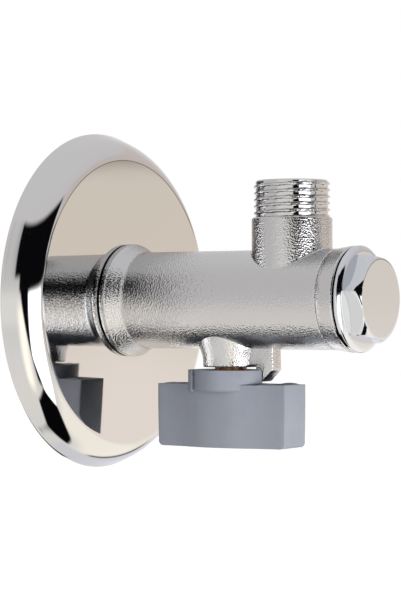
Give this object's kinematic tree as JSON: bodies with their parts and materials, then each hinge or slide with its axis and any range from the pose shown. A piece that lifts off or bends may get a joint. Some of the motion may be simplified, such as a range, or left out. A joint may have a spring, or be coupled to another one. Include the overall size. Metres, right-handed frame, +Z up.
{
  "type": "filtered stop tap",
  "caption": "Chromed brass angle stop tap with a quarter-turn grey lever, a strainer behind a hexagon cap, threaded inlet and outlet, and a round wall rosette.",
  "frame": {"origin": "on the inlet axis, in the plane of the wall that the rosette's rim touches", "axes": "+X out of the wall along the inlet and the body towards the filter cap, +Z up along the outlet, the lever hangs towards -Z"},
  "size_m": [0.1015, 0.0966, 0.0966],
  "materials": {
    "bright_chrome": "mirror-bright chrome plate on pressed steel",
    "satin_chrome": "satin chrome plate on sand-blasted forged brass",
    "cap_chrome": "bright chrome plate on turned brass",
    "ball_chrome": "polished hard chrome on brass",
    "brass": "turned, unplated",
    "ptfe": "smooth white PTFE",
    "grey_plastic": "fine satin, moulded blue-grey plastic",
    "zinc_steel": "zinc plated",
    "stainless": "rolled, bright",
    "nitrile": "matte black nitrile rubber"
  },
  "bodies": {
    "tap_body": {"valve_body": "satin_chrome", "rosette": "bright_chrome", "rear_seat": "ptfe", "front_seat": "ptfe", "seat_retainer": "brass", "retainer_o_ring": "nitrile", "stem_thrust_washer": "ptfe"},
    "lever": {"handle": "grey_plastic", "handle_screw": "zinc_steel", "screw_lock_washer": "zinc_steel", "stem": "brass", "upper_stem_o_ring": "nitrile", "lower_stem_o_ring": "nitrile", "ball": "ball_chrome"},
    "strainer": {"strainer_mesh": "stainless", "strainer_inner_ring": "stainless", "strainer_outer_ring": "stainless"},
    "cap": {"filter_cap": "cap_chrome", "cap_o_ring": "nitrile"}
  },
  "joints": [
    {"name": "lever_turn", "type": "hinge", "parent": "tap_body", "child": "lever", "pos_m": [0.0438, 0, 0], "axis": [0, 0, -1], "range_deg": [0, 90]},
    {"name": "strainer_slide", "type": "slide", "parent": "tap_body", "child": "strainer", "axis": [1, 0, 0], "range_m": [0, 0.0075]},
    {"name": "cap_turn", "type": "hinge", "parent": "strainer", "child": "cap", "pos_m": [0.0875, 0, 0], "axis": [1, 0, 0], "range_deg": [0, 1800]}
  ],
  "couplings": [
    {"joint": "strainer_slide", "follows": "cap_turn", "m_per_rad": 0.00023873}
  ]
}
